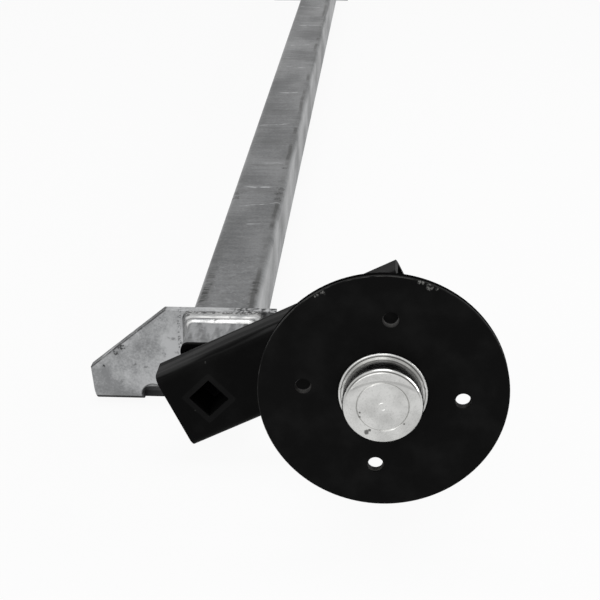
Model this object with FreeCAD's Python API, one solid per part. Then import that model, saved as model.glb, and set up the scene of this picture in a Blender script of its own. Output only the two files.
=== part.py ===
# Rubber torsion trailer axle: a square tube with a bent mounting bracket, a
# trailing swing arm and an unbraked wheel hub at each end. It lies with its
# mounting flanges down. The axle runs along Y, Z is up, and the origin is at
# the middle of the four chassis bolt holes, on the flanges' mounting faces.
# The right-hand end is at -Y, and the left-hand end is its mirror image.
# Sizes are in millimetres.
import FreeCAD, Part
import math
import os

# Whole axle
wheel_face_spacing = 2240.0
torsion_axis_x = 30.8
torsion_axis_z = 53.5

# Axle tube
tube_side = 50.0
tube_wall = 4.0
tube_corner_radius = 5.0
tube_to_arm_gap = 6.0

# Mounting bracket, a cut plate with its lower edge bent into a flange
bracket_setback = 58.0
bracket_thickness = 8.0
bracket_length = 143.0
bracket_lift = 2.0
bracket_bend_radius = 7.0
flange_width = 62.0
heel_height = 31.8
heel_overhang = 3.0
chamfer_reach = 56.3
bracket_tube_clearance = 0.3
weld_reach = 7.0
weld_length = 10.0
weld_crown = 0.6
chassis_hole_diameter = 13.0
chassis_hole_spacing = 100.0
chassis_hole_setback = 38.0
drain_notch_width = 18.0
drain_notch_height = 17.5
drain_notch_x = -26.0

# Swing arm, a length of rectangular hollow section
arm_length = 136.0
stub_offset = 3.1
arm_rest_angle = 26.3
arm_height = 60.0
arm_depth = 32.0
arm_wall = 4.0
arm_corner_radius = 7.0
arm_front_overhang = 28.0
arm_rear_overhang = 24.0
arm_setback = 105.0

# Torsion element: an inner square tube, turned by 45 degrees, and four cords
bar_side = 28.0
bar_wall = 4.0
bar_corner_radius = 2.0
bar_length = 300.0
cord_length = 240.0
cord_inset = 12.0
cord_squeeze_gap = 0.05
bar_weld_reach = 4.0
bar_weld_length = 4.0

# Stub axle
shank_diameter = 32.0
shank_stand_off = 2.5
shank_weld_reach = 5.0
seal_journal_diameter = 44.0
inner_journal_diameter = 31.75
middle_diameter = 28.0
outer_journal_diameter = 19.05
thread_diameter = 18.6
thread_end = 15.0
stub_chamfer = 1.5
split_pin_diameter = 3.2
split_pin_hole_clearance = 0.3

# Wheel hub
wheel_disc_diameter = 157.0
wheel_disc_thickness = 6.5
wheel_disc_edge = 0.6
wheel_hole_circle = 100.0
wheel_hole_diameter = 10.4
wheel_hole_count = 4
hub_rest_turn = -4.5
barrel_nose_diameter = 62.0
barrel_wall = 6.4
barrel_fillet = 5.0
barrel_flare = 9.0
hub_depth = 88.0
grease_space_diameter = 48.0
bearing_shoulder = 2.6
cap_seat_diameter = 57.8
cap_seat_depth = 0.5

# Taper roller bearings
outer_cup_diameter = 45.24
outer_cup_width = 12.1
outer_cup_depth = 10.0
outer_roller_diameter = 4.8
inner_cup_diameter = 59.13
inner_cup_width = 11.8
inner_cup_setback = 10.0
inner_roller_diameter = 5.6
race_angle = 11.5
cup_lip = 2.2
cone_rib = 1.1
cone_stick_out = 3.2
roller_length = 9.6
roller_count = 12
roller_clearance = 0.1
cage_wall = 0.9
cage_lift = 0.3
cage_end_ring = 1.1
cage_window_clearance = 0.2

# Grease seal
seal_width = 8.0
seal_interference_step = 0.6
seal_lip_clearance = 0.3

# Nut, washer and grease cap
washer_diameter = 30.0
washer_thickness = 3.0
nut_across_flats = 27.0
nut_height = 15.0
nut_crown_height = 5.5
nut_slot_width = 4.2
nut_slot_count = 6
cap_skirt_diameter = 47.0
cap_skirt_depth = 8.0
cap_wall = 1.2
cap_rim_diameter = 56.0
cap_rim_thickness = 2.1
cap_diameter = 50.0
cap_height = 19.0
cap_shoulder_radius = 3.2
cap_ring_diameter = 31.0
cap_ring_step = 0.5
cap_groove_width = 1.1

# Places worked out from the sizes above
ALONG = FreeCAD.Vector(0, 1, 0)
UP = FreeCAD.Vector(0, 0, 1)
ORIGIN = FreeCAD.Vector(0, 0, 0)
rest_angle = math.radians(arm_rest_angle)
wheel_face_y = -wheel_face_spacing / 2
hub_x = torsion_axis_x + arm_length * math.cos(rest_angle) + stub_offset * math.sin(rest_angle)
hub_z = torsion_axis_z + arm_length * math.sin(rest_angle) - stub_offset * math.cos(rest_angle)
arm_outer_y = wheel_face_y + arm_setback
arm_inner_y = arm_outer_y + arm_depth
tube_end_y = arm_inner_y + tube_to_arm_gap
bracket_outer_y = tube_end_y + bracket_setback
tube_length = -2 * tube_end_y
tube_bore = tube_side - 2 * tube_wall
outer_bore_depth = outer_cup_depth + outer_cup_width
inner_cup_start = hub_depth - inner_cup_setback - inner_cup_width
seal_journal_start = hub_depth - inner_cup_setback + cone_stick_out


def cylinder(radius, start, end):
    """Return a solid cylinder on the Y axis from start to end."""
    return Part.makeCylinder(radius, end - start, FreeCAD.Vector(0, start, 0), ALONG)


def ring(outer_radius, inner_radius, start, end):
    """Return a plain ring on the Y axis."""
    return cylinder(outer_radius, start, end).cut(cylinder(inner_radius, start, end))


def turned(outline):
    """Return the solid turned about the Y axis from (radius, y) points."""
    corners = [FreeCAD.Vector(radius, y, 0) for radius, y in outline]
    face = Part.Face(Part.makePolygon(corners + corners[:1]))
    return face.revolve(ORIGIN, ALONG, 360)


def rounded_rectangle(width, height, radius):
    """Return the wire of a rounded rectangle in the XZ plane, centred."""
    box = Part.makeBox(width, 1, height, FreeCAD.Vector(-width / 2, 0, -height / 2))
    if radius > 0:
        long_edges = [edge for edge in box.Edges if abs(edge.tangentAt(0).y) > 0.5]
        box = box.makeFillet(radius, long_edges)
    front = [face for face in box.Faces if abs(face.CenterOfMass.y) < 1e-6]
    return front[0].OuterWire


def square_prism(width, height, radius, start, end):
    """Return a rounded rectangular bar along Y from start to end."""
    wire = rounded_rectangle(width, height, radius)
    wire.translate(FreeCAD.Vector(0, start, 0))
    return Part.Face(wire).extrude(FreeCAD.Vector(0, end - start, 0))


def hollow_section(width, height, wall, radius, start, end):
    """Return a rounded hollow section along Y."""
    inner_radius = max(radius - wall, 0)
    outer = square_prism(width, height, radius, start, end)
    inner = square_prism(width - 2 * wall, height - 2 * wall, inner_radius, start, end)
    return outer.cut(inner)


def at_torsion_axis(shape):
    """Move a shape built on the Y axis to the torsion axis."""
    shape.translate(FreeCAD.Vector(torsion_axis_x, 0, torsion_axis_z))
    return shape


def at_hub(shape):
    """Move a shape built behind a wheel face at y = 0 to the right-hand hub."""
    shape.translate(FreeCAD.Vector(hub_x, wheel_face_y, hub_z))
    return shape


def axle_tube():
    tube = hollow_section(tube_side, tube_side, tube_wall, tube_corner_radius,
                          tube_end_y, tube_end_y + tube_length)
    return at_torsion_axis(tube)


def bracket_blank(width, height):
    """Return the plate and its flange, bent from one strip, with square ends."""
    corner = FreeCAD.Vector(-width / 2, bracket_outer_y, 0)
    plate = Part.makeBox(width, bracket_thickness, height, corner)
    flange = Part.makeBox(width, flange_width, bracket_thickness, corner)
    blank = plate.fuse(flange).removeSplitter()
    inside = (bracket_outer_y + bracket_thickness, bracket_thickness)
    blank = blank.makeFillet(bracket_bend_radius, bend_edges(blank, inside))
    outside = (bracket_outer_y, 0)
    return blank.makeFillet(bracket_bend_radius + bracket_thickness, bend_edges(blank, outside))


def bend_edges(blank, place):
    """Return the edge along X at the given y and z."""
    chosen = []
    for edge in blank.Edges:
        middle = edge.CenterOfMass
        if abs(edge.tangentAt(0).x) > 0.5 and abs(middle.y - place[0]) < 0.01 and abs(middle.z - place[1]) < 0.01:
            chosen.append(edge)
    return chosen


def bracket_outline():
    """Return the bracket's outline in the XZ plane as a prism over the whole flange."""
    half = bracket_length / 2
    top = torsion_axis_z + tube_side / 2 + bracket_lift
    corners = [
        (-half, 0),
        (-half - heel_overhang, heel_height),
        (-half + chamfer_reach, top),
        (half, top),
        (half, 0),
    ]
    points = [FreeCAD.Vector(x, bracket_outer_y, z) for x, z in corners]
    outline = Part.Face(Part.makePolygon(points + points[:1]))
    return outline.extrude(FreeCAD.Vector(0, flange_width, 0))


def drain_notch():
    """Return the arched slot that lets the zinc run out of the bend."""
    radius = drain_notch_width / 2
    start = bracket_outer_y - 1
    depth = bracket_thickness + bracket_bend_radius + 1
    middle = drain_notch_height - radius
    arch = Part.makeCylinder(radius, depth, FreeCAD.Vector(drain_notch_x, start, middle), ALONG)
    legs = Part.makeBox(drain_notch_width, depth, middle + 1,
                        FreeCAD.Vector(drain_notch_x - radius, start, -1))
    return arch.fuse(legs)


def bracket():
    outline = bracket_outline()
    size = outline.BoundBox
    body = bracket_blank(2 * max(-size.XMin, size.XMax), size.ZMax).common(outline)
    opening = tube_side + 2 * bracket_tube_clearance
    window = square_prism(opening, opening, tube_corner_radius + bracket_tube_clearance,
                          bracket_outer_y - 1, bracket_outer_y + bracket_thickness + 1)
    body = body.cut(at_torsion_axis(window))
    for side in (-1, 1):
        spot = FreeCAD.Vector(side * chassis_hole_spacing / 2,
                              bracket_outer_y + chassis_hole_setback, -1)
        body = body.cut(Part.makeCylinder(chassis_hole_diameter / 2, bracket_thickness + 2, spot, UP))
    return body.cut(drain_notch())


def fillet_weld(side, corner_radius, reach, top_reach, length):
    """Return a bead round a square section, which starts at y = 0 and thins along Y."""
    toe = 0.02
    steps = ((1.0, 0.0), (weld_crown, length * weld_crown), (0.0, length))
    rows = []
    for share, along in steps:
        out = max(reach * share, toe)
        top = max(top_reach * share, toe)
        wire = rounded_rectangle(side + 2 * out, side + out + top, corner_radius + top)
        wire.translate(FreeCAD.Vector(0, along, (top - out) / 2))
        rows.append(wire)
    bead = Part.makeLoft(rows, True, True)
    core = square_prism(side, side, corner_radius, -1, abs(length) + 1)
    if length < 0:
        core.translate(FreeCAD.Vector(0, length, 0))
    return bead.cut(core)


def bracket_weld():
    """Return the weld that runs round the tube on the plate's outer face."""
    weld = fillet_weld(tube_side, tube_corner_radius, weld_reach, bracket_lift, -weld_length)
    weld.translate(FreeCAD.Vector(0, bracket_outer_y, 0))
    return at_torsion_axis(weld)


def cord_radius():
    """Return the radius at which a cord touches two tube walls and the bar."""
    corner = tube_bore / 2
    root_two = math.sqrt(2)
    return (corner * root_two - bar_side / 2) / (root_two + 1) - cord_squeeze_gap


def rubber_cord(index):
    radius = cord_radius()
    offset = tube_bore / 2 - radius - cord_squeeze_gap
    side_x = (1, -1, -1, 1)[index]
    side_z = (1, 1, -1, -1)[index]
    start = tube_end_y + cord_inset
    cord = cylinder(radius, start, start + cord_length)
    cord.translate(FreeCAD.Vector(side_x * offset, 0, side_z * offset))
    return at_torsion_axis(cord)


def torsion_bar():
    bar = hollow_section(bar_side, bar_side, bar_wall, bar_corner_radius,
                         arm_outer_y, arm_outer_y + bar_length)
    bar.rotate(ORIGIN, ALONG, 45)
    return at_torsion_axis(bar)


def bar_weld():
    """Return the weld that runs round the inner bar on the arm's inner face."""
    weld = fillet_weld(bar_side, bar_corner_radius, bar_weld_reach, bar_weld_reach, bar_weld_length)
    weld.rotate(ORIGIN, ALONG, 45)
    weld.translate(FreeCAD.Vector(0, arm_inner_y, 0))
    return at_torsion_axis(weld)


def swing_arm():
    """Return the arm: a hollow section cut square, with a square and a round hole."""
    length = arm_front_overhang + arm_length + arm_rear_overhang
    outer = Part.makeBox(length, arm_depth, arm_height,
                         FreeCAD.Vector(-arm_front_overhang, arm_outer_y, -arm_height / 2))
    outer = outer.makeFillet(arm_corner_radius, lengthwise_edges(outer))
    bore = Part.makeBox(length, arm_depth - 2 * arm_wall, arm_height - 2 * arm_wall,
                        FreeCAD.Vector(-arm_front_overhang, arm_outer_y + arm_wall,
                                       -arm_height / 2 + arm_wall))
    inner_radius = arm_corner_radius - arm_wall
    if inner_radius > 0:
        bore = bore.makeFillet(inner_radius, lengthwise_edges(bore))
    arm = outer.cut(bore)
    arm.rotate(ORIGIN, ALONG, -arm_rest_angle)
    square = square_prism(bar_side, bar_side, bar_corner_radius, arm_outer_y - 1, arm_inner_y + 1)
    square.rotate(ORIGIN, ALONG, 45)
    arm = arm.cut(square)
    round_hole = cylinder(shank_diameter / 2, arm_outer_y - 1, arm_inner_y + 1)
    round_hole.translate(FreeCAD.Vector(hub_x - torsion_axis_x, 0, hub_z - torsion_axis_z))
    return at_torsion_axis(arm.cut(round_hole))


def lengthwise_edges(box):
    """Return the edges of a box that run along X."""
    return [edge for edge in box.Edges if abs(edge.tangentAt(0).x) > 0.5]


def stub_axle():
    thread = thread_diameter / 2
    outer = outer_journal_diameter / 2
    middle = middle_diameter / 2
    inner = inner_journal_diameter / 2
    seal = seal_journal_diameter / 2
    shank = shank_diameter / 2
    thread_stop = washer_face()
    taper_start = outer_bore_depth + bearing_shoulder
    outline = [
        (0, -thread_end),
        (thread - stub_chamfer, -thread_end),
        (thread, -thread_end + stub_chamfer),
        (thread, thread_stop),
        (outer, thread_stop),
        (outer, taper_start),
        (middle, taper_start + middle - outer),
        (middle, inner_cup_start - cone_stick_out),
        (inner, inner_cup_start - bearing_shoulder),
        (inner, seal_journal_start),
        (seal, seal_journal_start),
        (seal, arm_setback),
        (shank, arm_setback),
        (shank, arm_setback + arm_depth + shank_stand_off),
        (0, arm_setback + arm_depth + shank_stand_off),
    ]
    stub = turned(outline)
    hole_radius = split_pin_diameter / 2 + split_pin_hole_clearance / 2
    across = FreeCAD.Vector(0, 0, -seal)
    hole = Part.makeCylinder(hole_radius, 2 * seal, across, UP)
    hole.translate(FreeCAD.Vector(0, split_pin_y(), 0))
    return at_hub(stub.cut(hole))


def stub_weld():
    """Return the weld that runs round the stub's shank on the arm's inner face."""
    shank = shank_diameter / 2
    start = arm_setback + arm_depth
    outline = [
        (shank, start),
        (shank + shank_weld_reach, start),
        (shank + shank_weld_reach * weld_crown, start + shank_stand_off * (1 - weld_crown)),
        (shank, start + shank_stand_off),
    ]
    return at_hub(turned(outline))


def washer_face():
    """Return the depth of the washer's inner face, on the outer bearing cone."""
    return outer_cup_depth - cone_stick_out


def split_pin_y():
    """Return the depth of the split pin, half-way down the nut's slots."""
    return washer_face() - washer_thickness - nut_height + nut_crown_height / 2


def hub():
    """Return the hub: a flat wheel disc and a flared barrel in one forging."""
    disc = wheel_disc_diameter / 2
    nose = barrel_nose_diameter / 2
    tail = inner_cup_diameter / 2 + barrel_wall
    outer_seat = outer_cup_diameter / 2
    inner_seat = inner_cup_diameter / 2
    seal_seat = inner_seat + seal_interference_step
    grease = grease_space_diameter / 2
    outline = [
        (cap_skirt_diameter / 2, cap_seat_depth),
        (cap_seat_diameter / 2, cap_seat_depth),
        (cap_seat_diameter / 2, 0),
        (disc - wheel_disc_edge, 0),
        (disc, wheel_disc_edge),
        (disc, wheel_disc_thickness - wheel_disc_edge),
        (disc - wheel_disc_edge, wheel_disc_thickness),
        (nose + barrel_fillet, wheel_disc_thickness),
        (nose, wheel_disc_thickness + barrel_fillet),
        (nose, inner_cup_start - bearing_shoulder - barrel_flare),
        (tail, inner_cup_start - bearing_shoulder),
        (tail, hub_depth),
        (seal_seat, hub_depth),
        (seal_seat, hub_depth - seal_width),
        (inner_seat, hub_depth - seal_width),
        (inner_seat, inner_cup_start),
        (inner_seat - bearing_shoulder, inner_cup_start),
        (inner_seat - bearing_shoulder, inner_cup_start - bearing_shoulder),
        (grease, inner_cup_start - bearing_shoulder - barrel_flare / 2),
        (grease, outer_bore_depth + barrel_flare),
        (outer_seat - bearing_shoulder, outer_bore_depth + bearing_shoulder),
        (outer_seat - bearing_shoulder, outer_bore_depth),
        (outer_seat, outer_bore_depth),
        (outer_seat, outer_cup_depth),
        (cap_skirt_diameter / 2, outer_cup_depth),
    ]
    body = turned(outline)
    for index in range(wheel_hole_count):
        angle = math.radians(hub_rest_turn + index * 360 / wheel_hole_count)
        start = FreeCAD.Vector(wheel_hole_circle / 2 * math.cos(angle), -1,
                               wheel_hole_circle / 2 * math.sin(angle))
        body = body.cut(Part.makeCylinder(wheel_hole_diameter / 2, wheel_disc_thickness + 2, start, ALONG))
    return at_hub(body)


def grease_cap():
    """Return the pressed cap: skirt, rolled rim, drum and a face with a shallow ring."""
    seat = cap_seat_depth
    front = cap_seat_depth - cap_rim_thickness
    skirt = cap_skirt_diameter / 2
    rim = cap_rim_diameter / 2
    drum = cap_diameter / 2
    ring_radius = cap_ring_diameter / 2
    inside = drum - cap_wall
    top = -cap_height
    bead = cap_rim_thickness / 2
    outer_arc = Part.Arc(
        FreeCAD.Vector(drum, top + cap_shoulder_radius, 0),
        FreeCAD.Vector(drum - cap_shoulder_radius * (1 - math.sqrt(0.5)),
                       top + cap_shoulder_radius * (1 - math.sqrt(0.5)), 0),
        FreeCAD.Vector(drum - cap_shoulder_radius, top, 0))
    inner_fillet = cap_shoulder_radius - cap_wall
    inner_arc = Part.Arc(
        FreeCAD.Vector(inside - inner_fillet, top + cap_wall, 0),
        FreeCAD.Vector(inside - inner_fillet * (1 - math.sqrt(0.5)),
                       top + cap_wall + inner_fillet * (1 - math.sqrt(0.5)), 0),
        FreeCAD.Vector(inside, top + cap_wall + inner_fillet, 0))
    rim_arc = Part.Arc(
        FreeCAD.Vector(rim - bead, seat, 0),
        FreeCAD.Vector(rim, seat - bead, 0),
        FreeCAD.Vector(rim - bead, front, 0))
    outside = [
        (rim - bead, front),
        (drum, front),
        (drum, top + cap_shoulder_radius),
    ]
    face = [
        (drum - cap_shoulder_radius, top),
        (ring_radius + cap_groove_width, top),
        (ring_radius + cap_groove_width / 2, top + cap_ring_step),
        (ring_radius, top),
        (0, top),
        (0, top + cap_wall),
        (inside - inner_fillet, top + cap_wall),
    ]
    lining = [
        (inside, top + cap_wall + inner_fillet),
        (inside, front),
        (skirt - cap_wall, seat),
        (skirt - cap_wall, cap_skirt_depth),
        (skirt, cap_skirt_depth),
        (skirt, seat),
        (rim - bead, seat),
    ]
    edges = open_run(outside) + [outer_arc.toShape()] + open_run(face)
    edges += [inner_arc.toShape()] + open_run(lining) + [rim_arc.toShape()]
    profile = Part.Face(Part.Wire(edges))
    return at_hub(profile.revolve(ORIGIN, ALONG, 360))


def open_run(points):
    """Return straight edges through (radius, y) points."""
    corners = [FreeCAD.Vector(radius, y, 0) for radius, y in points]
    return [Part.makeLine(first, second) for first, second in zip(corners, corners[1:])]


class TaperBearing:
    """A taper roller bearing whose large end lies at large_end and whose
    small end lies in the given direction along Y."""

    def __init__(self, large_end, direction, cup_radius, cup_width, bore_radius, roller_diameter):
        self.large_end = large_end
        self.direction = direction
        self.cup_radius = cup_radius
        self.cup_width = cup_width
        self.bore_radius = bore_radius
        self.roller_radius = roller_diameter / 2
        self.outer_angle = math.radians(race_angle)
        race_radius = cup_radius - cup_lip
        self.apex = race_radius / math.tan(self.outer_angle)
        slant = (self.apex - cup_width / 2) / math.cos(self.outer_angle)
        self.half_angle = math.asin(self.roller_radius / slant)
        self.inner_angle = self.outer_angle - 2 * self.half_angle

    def placed(self, shape):
        """Turn a shape built with its large end at y = 0 into its real place."""
        if self.direction < 0:
            shape.rotate(ORIGIN, UP, 180)
        shape.translate(FreeCAD.Vector(0, self.large_end, 0))
        return at_hub(shape)

    def cup(self):
        tangent = math.tan(self.outer_angle)
        large = self.apex * tangent
        small = (self.apex - self.cup_width) * tangent
        outline = [(large, 0), (self.cup_radius, 0),
                   (self.cup_radius, self.cup_width), (small, self.cup_width)]
        return self.placed(turned(outline))

    def cone(self):
        tangent = math.tan(self.inner_angle)
        half_free = (self.cup_width - roller_length) / 2
        tilt_room = self.roller_radius * math.sin(self.inner_angle + self.half_angle)
        start = half_free - roller_clearance - tilt_room
        end = half_free + roller_length + roller_clearance
        race_start = (self.apex - start) * tangent
        race_end = (self.apex - end) * tangent
        back = -cone_stick_out
        front = self.cup_width + half_free
        outline = [
            (self.bore_radius, back),
            (race_start + cone_rib, back),
            (race_start + cone_rib, start),
            (race_start, start),
            (race_end, end),
            (race_end + cone_rib / 2, end),
            (race_end + cone_rib / 2, front),
            (self.bore_radius, front),
        ]
        return self.placed(turned(outline))

    def roller_solids(self, growth):
        """Return the rollers in a ring, each grown by a distance on every side."""
        middle_angle = self.inner_angle + self.half_angle
        tangent = math.tan(self.half_angle)
        near = (self.apex - (self.cup_width + roller_length) / 2) / math.cos(middle_angle)
        far = near + roller_length
        start_radius = near * tangent + growth
        end_radius = far * tangent + growth
        slack = max(growth, 0)
        solids = []
        for index in range(roller_count):
            turn = 360 * index / roller_count
            roller = Part.makeCone(start_radius, end_radius, roller_length + 2 * slack,
                                   FreeCAD.Vector(0, slack - near, 0), FreeCAD.Vector(0, -1, 0))
            roller.rotate(ORIGIN, UP, math.degrees(middle_angle))
            roller.translate(FreeCAD.Vector(0, self.apex, 0))
            roller.rotate(ORIGIN, ALONG, turn)
            solids.append(roller)
        return solids

    def rollers(self):
        return self.placed(Part.makeCompound(self.roller_solids(-roller_clearance)))

    def cage(self):
        """Return the pressed cage: a thin cone with a window for each roller."""
        tangent = math.tan(self.inner_angle + self.half_angle)
        half_free = (self.cup_width - roller_length) / 2
        start = half_free - cage_end_ring
        end = half_free + roller_length + cage_end_ring
        large = (self.apex - start) * tangent + cage_lift
        small = (self.apex - end) * tangent + cage_lift
        outline = [(large, start), (large + cage_wall, start), (small + cage_wall, end), (small, end)]
        shell = turned(outline)
        return self.placed(shell.cut(self.roller_solids(cage_window_clearance)))


def outer_bearing():
    return TaperBearing(outer_cup_depth, 1, outer_cup_diameter / 2, outer_cup_width,
                        outer_journal_diameter / 2, outer_roller_diameter)


def inner_bearing():
    return TaperBearing(inner_cup_start + inner_cup_width, -1, inner_cup_diameter / 2,
                        inner_cup_width, inner_journal_diameter / 2, inner_roller_diameter)


def grease_seal():
    """Return the seal: a pressed case with a lip that runs on the stub's journal."""
    case = inner_cup_diameter / 2 + seal_interference_step
    lip = seal_journal_diameter / 2 + seal_lip_clearance
    start = hub_depth - seal_width
    web = seal_width / 3
    outline = [
        (case, start + seal_width / 4),
        (case, hub_depth),
        (lip + web / 2, hub_depth),
        (lip, hub_depth - web / 2),
        (lip + web / 2, hub_depth - web),
        (lip + web, hub_depth - web),
        (case - web / 2, hub_depth - web),
        (case - web / 2, start + seal_width / 4),
    ]
    return at_hub(turned(outline))


def thrust_washer():
    face = washer_face()
    return at_hub(ring(washer_diameter / 2, thread_diameter / 2, face - washer_thickness, face))


def castle_nut():
    """Return the hexagon nut with a round slotted crown."""
    seat = washer_face() - washer_thickness
    end = seat - nut_height
    crown_start = end + nut_crown_height
    corner = nut_across_flats / 2 / math.cos(math.radians(30))
    points = [FreeCAD.Vector(corner * math.cos(math.radians(60 * i)), crown_start,
                             corner * math.sin(math.radians(60 * i))) for i in range(7)]
    hexagon = Part.Face(Part.makePolygon(points)).extrude(FreeCAD.Vector(0, seat - crown_start, 0))
    crown_radius = nut_across_flats / 2 * 0.92
    body = hexagon.fuse(cylinder(crown_radius, end, crown_start))
    body = body.cut(cylinder(thread_diameter / 2, end, seat))
    for index in range(nut_slot_count):
        slot = Part.makeBox(nut_slot_width, nut_crown_height, crown_radius + 1,
                            FreeCAD.Vector(-nut_slot_width / 2, end, 0))
        slot.rotate(ORIGIN, ALONG, 360 * index / nut_slot_count)
        body = body.cut(slot)
    return at_hub(body)


def split_pin():
    """Return the pin: an eye, a shank through the slots and two bent legs."""
    radius = split_pin_diameter / 2
    reach = nut_across_flats / 2 * 0.92 + split_pin_diameter / 2
    y = split_pin_y()
    shank = Part.makeCylinder(radius, 2 * reach, FreeCAD.Vector(0, y, -reach), UP)
    eye = Part.makeTorus(split_pin_diameter, radius * 0.8, FreeCAD.Vector(0, y, reach + split_pin_diameter),
                         FreeCAD.Vector(1, 0, 0))
    foot = FreeCAD.Vector(0, y, -reach)
    leg = Part.makeCylinder(radius * 0.8, nut_crown_height, foot, FreeCAD.Vector(0, -1, 0))
    knee = Part.makeSphere(radius, foot)
    return at_hub(shank.fuse([eye, leg, knee]))


def side_shapes():
    """Return every piece of the right-hand end, by name."""
    outer = outer_bearing()
    inner = inner_bearing()
    shapes = {
        "bracket": bracket(),
        "bracket_weld": bracket_weld(),
        "torsion_bar": torsion_bar(),
        "bar_weld": bar_weld(),
        "swing_arm": swing_arm(),
        "stub_axle": stub_axle(),
        "stub_weld": stub_weld(),
        "wheel_hub": hub(),
        "outer_bearing_cup": outer.cup(),
        "outer_bearing_cone": outer.cone(),
        "outer_bearing_rollers": outer.rollers(),
        "outer_bearing_cage": outer.cage(),
        "inner_bearing_cup": inner.cup(),
        "inner_bearing_cone": inner.cone(),
        "inner_bearing_rollers": inner.rollers(),
        "inner_bearing_cage": inner.cage(),
        "grease_seal": grease_seal(),
        "thrust_washer": thrust_washer(),
        "castle_nut": castle_nut(),
        "split_pin": split_pin(),
        "grease_cap": grease_cap(),
    }
    for index in range(4):
        shapes["rubber_cord_%d" % (index + 1)] = rubber_cord(index)
    return shapes


def main():
    os.makedirs("parts", exist_ok=True)
    axle_tube().exportStep("parts/axle_tube.step")
    for name, shape in side_shapes().items():
        shape.exportStep("parts/%s_right.step" % name)
        shape.mirror(ORIGIN, ALONG).exportStep("parts/%s_left.step" % name)


main()
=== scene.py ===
"""Rubber torsion trailer axle: finishes, weld beads and studio round the CAD frame."""
import logging
import math
from dataclasses import dataclass, field
from enum import Enum

import bpy
from mathutils import Euler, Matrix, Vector


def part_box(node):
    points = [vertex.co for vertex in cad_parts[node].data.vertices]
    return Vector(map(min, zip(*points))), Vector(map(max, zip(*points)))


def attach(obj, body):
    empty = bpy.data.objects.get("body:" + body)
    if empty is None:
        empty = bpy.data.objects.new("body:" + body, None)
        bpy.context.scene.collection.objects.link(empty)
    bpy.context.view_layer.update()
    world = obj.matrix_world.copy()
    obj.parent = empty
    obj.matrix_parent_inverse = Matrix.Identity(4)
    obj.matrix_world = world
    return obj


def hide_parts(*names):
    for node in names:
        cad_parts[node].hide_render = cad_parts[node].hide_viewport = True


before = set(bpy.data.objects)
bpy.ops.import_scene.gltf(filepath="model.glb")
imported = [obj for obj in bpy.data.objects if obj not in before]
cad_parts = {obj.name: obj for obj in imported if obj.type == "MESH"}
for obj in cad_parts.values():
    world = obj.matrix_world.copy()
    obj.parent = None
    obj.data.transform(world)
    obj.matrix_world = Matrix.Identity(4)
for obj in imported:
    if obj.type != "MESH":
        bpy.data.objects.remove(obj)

log = logging.getLogger("trailer_axle")
MM = 0.001
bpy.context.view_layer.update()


class Side(Enum):
    """The two ends of the axle, with the sign that carries the right end to it."""

    RIGHT = 1
    LEFT = -1

    @property
    def label(self) -> str:
        """Return the ending of this side's node names."""
        return self.name.lower()

    def place(self, x: float, y: float, z: float) -> Vector:
        """Return a right-hand point, in metres, on this side.

        Args:
            x: Place across the axle.
            y: Place along the axle, as on the right-hand end.
            z: Height above the mounting faces.

        Returns:
            The point, mirrored in Y on the left-hand end.
        """
        return Vector((x, y * self.value, z))


def linear(code: str) -> tuple[float, float, float, float]:
    """Turn an sRGB hex colour to linear light.

    Args:
        code: Six hex digits, such as "8c8d8e".

    Returns:
        Red, green, blue and an alpha of 1.
    """
    values = [int(code[i:i + 2], 16) / 255 for i in (0, 2, 4)]
    light = [v / 12.92 if v <= 0.04045 else ((v + 0.055) / 1.055) ** 2.4 for v in values]
    return (light[0], light[1], light[2], 1.0)


def add_node(tree: bpy.types.NodeTree, kind: str, settings: dict | None = None,
             inputs: dict | None = None) -> bpy.types.Node:
    """Add a node with its settings and links.

    Args:
        tree: The node tree that the node goes into.
        kind: The node's type name.
        settings: Attributes of the node by name.
        inputs: Values or output sockets by input name or number.

    Returns:
        The new node.
    """
    node = tree.nodes.new(kind)
    for name, value in (settings or {}).items():
        setattr(node, name, value)
    for key, value in (inputs or {}).items():
        if isinstance(value, bpy.types.NodeSocket):
            tree.links.new(value, node.inputs[key])
        else:
            node.inputs[key].default_value = value
    return node


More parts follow.
